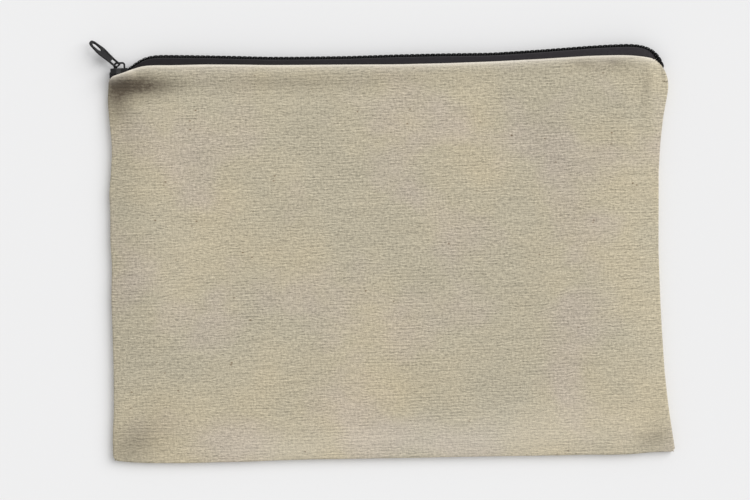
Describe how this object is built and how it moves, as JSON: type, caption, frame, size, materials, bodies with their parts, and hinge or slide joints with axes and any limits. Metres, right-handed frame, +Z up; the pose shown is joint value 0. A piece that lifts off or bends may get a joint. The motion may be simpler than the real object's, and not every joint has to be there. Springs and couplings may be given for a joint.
{
  "type": "flat zip pouch",
  "caption": "Flat rectangular canvas pouch sewn on three sides, closed along its top edge by a coil zip with a slider and pull tab; holds pencils.",
  "frame": {"origin": "centre of the flat underside of the back canvas panel, where the pouch rests", "axes": "+X along the zip from its closed end, +Y from the bottom edge towards the zip, +Z up through the pouch's thickness"},
  "size_m": [0.261, 0.1975, 0.0092],
  "materials": {
    "canvas": "natural cotton plain weave",
    "zip_tape": "black woven tape",
    "coil": "black nylon",
    "filler_cord": "twisted cord",
    "black_thread": "black sewing thread",
    "sewing_thread": "natural sewing thread",
    "slider_metal": "black enamel",
    "tab_metal": "black enamel"
  },
  "bodies": {
    "pouch": {"front_panel": "canvas", "back_panel": "canvas", "front_zip_tape": "zip_tape", "back_zip_tape": "zip_tape", "front_coil": "coil", "back_coil": "coil", "front_filler_cord": "filler_cord", "back_filler_cord": "filler_cord", "front_coil_stitching": "black_thread", "back_coil_stitching": "black_thread", "left_seam_thread": "sewing_thread", "right_seam_thread": "sewing_thread", "bottom_seam_thread": "sewing_thread", "front_mouth_thread": "sewing_thread", "back_mouth_thread": "sewing_thread", "left_overlock": "sewing_thread", "right_overlock": "sewing_thread", "bottom_overlock": "sewing_thread", "front_mouth_overlock": "sewing_thread", "back_mouth_overlock": "sewing_thread"},
    "slider": {"slider_body": "slider_metal"},
    "tab": {"pull_tab": "tab_metal"}
  },
  "joints": [
    {"name": "slider_travel", "type": "slide", "parent": "pouch", "child": "slider", "axis": [0.9997, 0.0227, 0], "range_m": [0, 0.231], "deforming": ["front_coil", "back_coil", "front_filler_cord", "back_filler_cord", "front_coil_stitching", "back_coil_stitching"]},
    {"name": "tab_swing", "type": "hinge", "parent": "slider", "child": "tab", "pos_m": [-0.12056, 0.09226, 0.0038], "axis": [-0.0863, -0.351, 0.9324], "range_deg": [-118, 18]}
  ]
}
